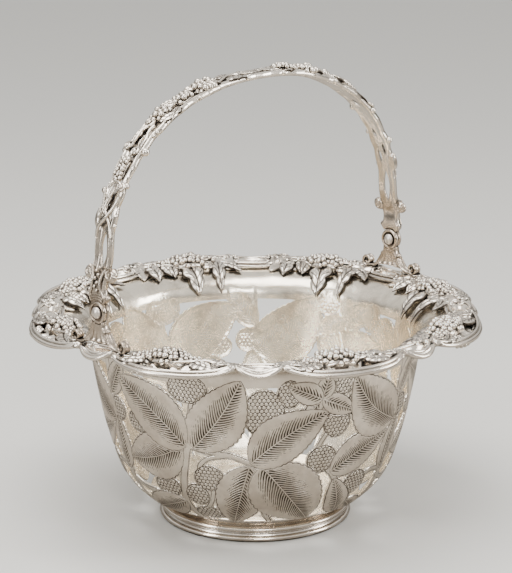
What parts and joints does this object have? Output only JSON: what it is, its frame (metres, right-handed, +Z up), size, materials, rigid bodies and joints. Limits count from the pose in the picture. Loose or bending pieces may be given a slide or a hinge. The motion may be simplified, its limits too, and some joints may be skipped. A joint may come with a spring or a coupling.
{
  "type": "silver basket",
  "caption": "Round pierced silver basket on a moulded foot, with a lobed cast rim of leaves and berries and a swing handle on riveted lap hinges.",
  "frame": {"origin": "under the middle of the foot, on the surface it rests on", "axes": "+Z up; +X along the hinge axis toward the right hinge; +Y completes the right-handed frame"},
  "size_m": [0.2894, 0.2894, 0.297],
  "materials": {
    "bowl_sheet": "raised and pierced silver sheet, softly polished, darkened in the engraving",
    "foot_silver": "polished silver mouldings",
    "rim_silver": "cast silver, chased, dark in the recesses",
    "handle_silver": "cast openwork silver, dark in the recesses",
    "rivet_silver": "burnished silver rivet heads"
  },
  "bodies": {
    "basket": {"bowl": "bowl_sheet", "foot_ring": "foot_silver", "foot_wire": "foot_silver", "rim_lobe_1": "rim_silver", "rim_lobe_2": "rim_silver", "rim_lobe_3": "rim_silver", "rim_lobe_4": "rim_silver", "rim_lobe_5": "rim_silver", "rim_lobe_6": "rim_silver", "rim_lobe_7": "rim_silver", "rim_lobe_8": "rim_silver", "rim_scroll_1": "rim_silver", "rim_scroll_2": "rim_silver", "rim_scroll_3": "rim_silver", "rim_scroll_4": "rim_silver", "rim_scroll_5": "rim_silver", "rim_scroll_6": "rim_silver", "rim_scroll_7": "rim_silver", "rim_scroll_8": "rim_silver", "hinge_bracket_right": "rim_silver", "hinge_bracket_left": "rim_silver", "hinge_rivet_right": "rivet_silver", "hinge_rivet_left": "rivet_silver"},
    "handle": {"handle_arm_right": "handle_silver", "handle_arm_left": "handle_silver", "handle_crown": "handle_silver"}
  },
  "joints": [
    {"name": "handle_swing", "type": "hinge", "parent": "basket", "child": "handle", "pos_m": [0, 0, 0.16251], "axis": [1, 0, 0], "range_deg": [-85, 85]}
  ]
}
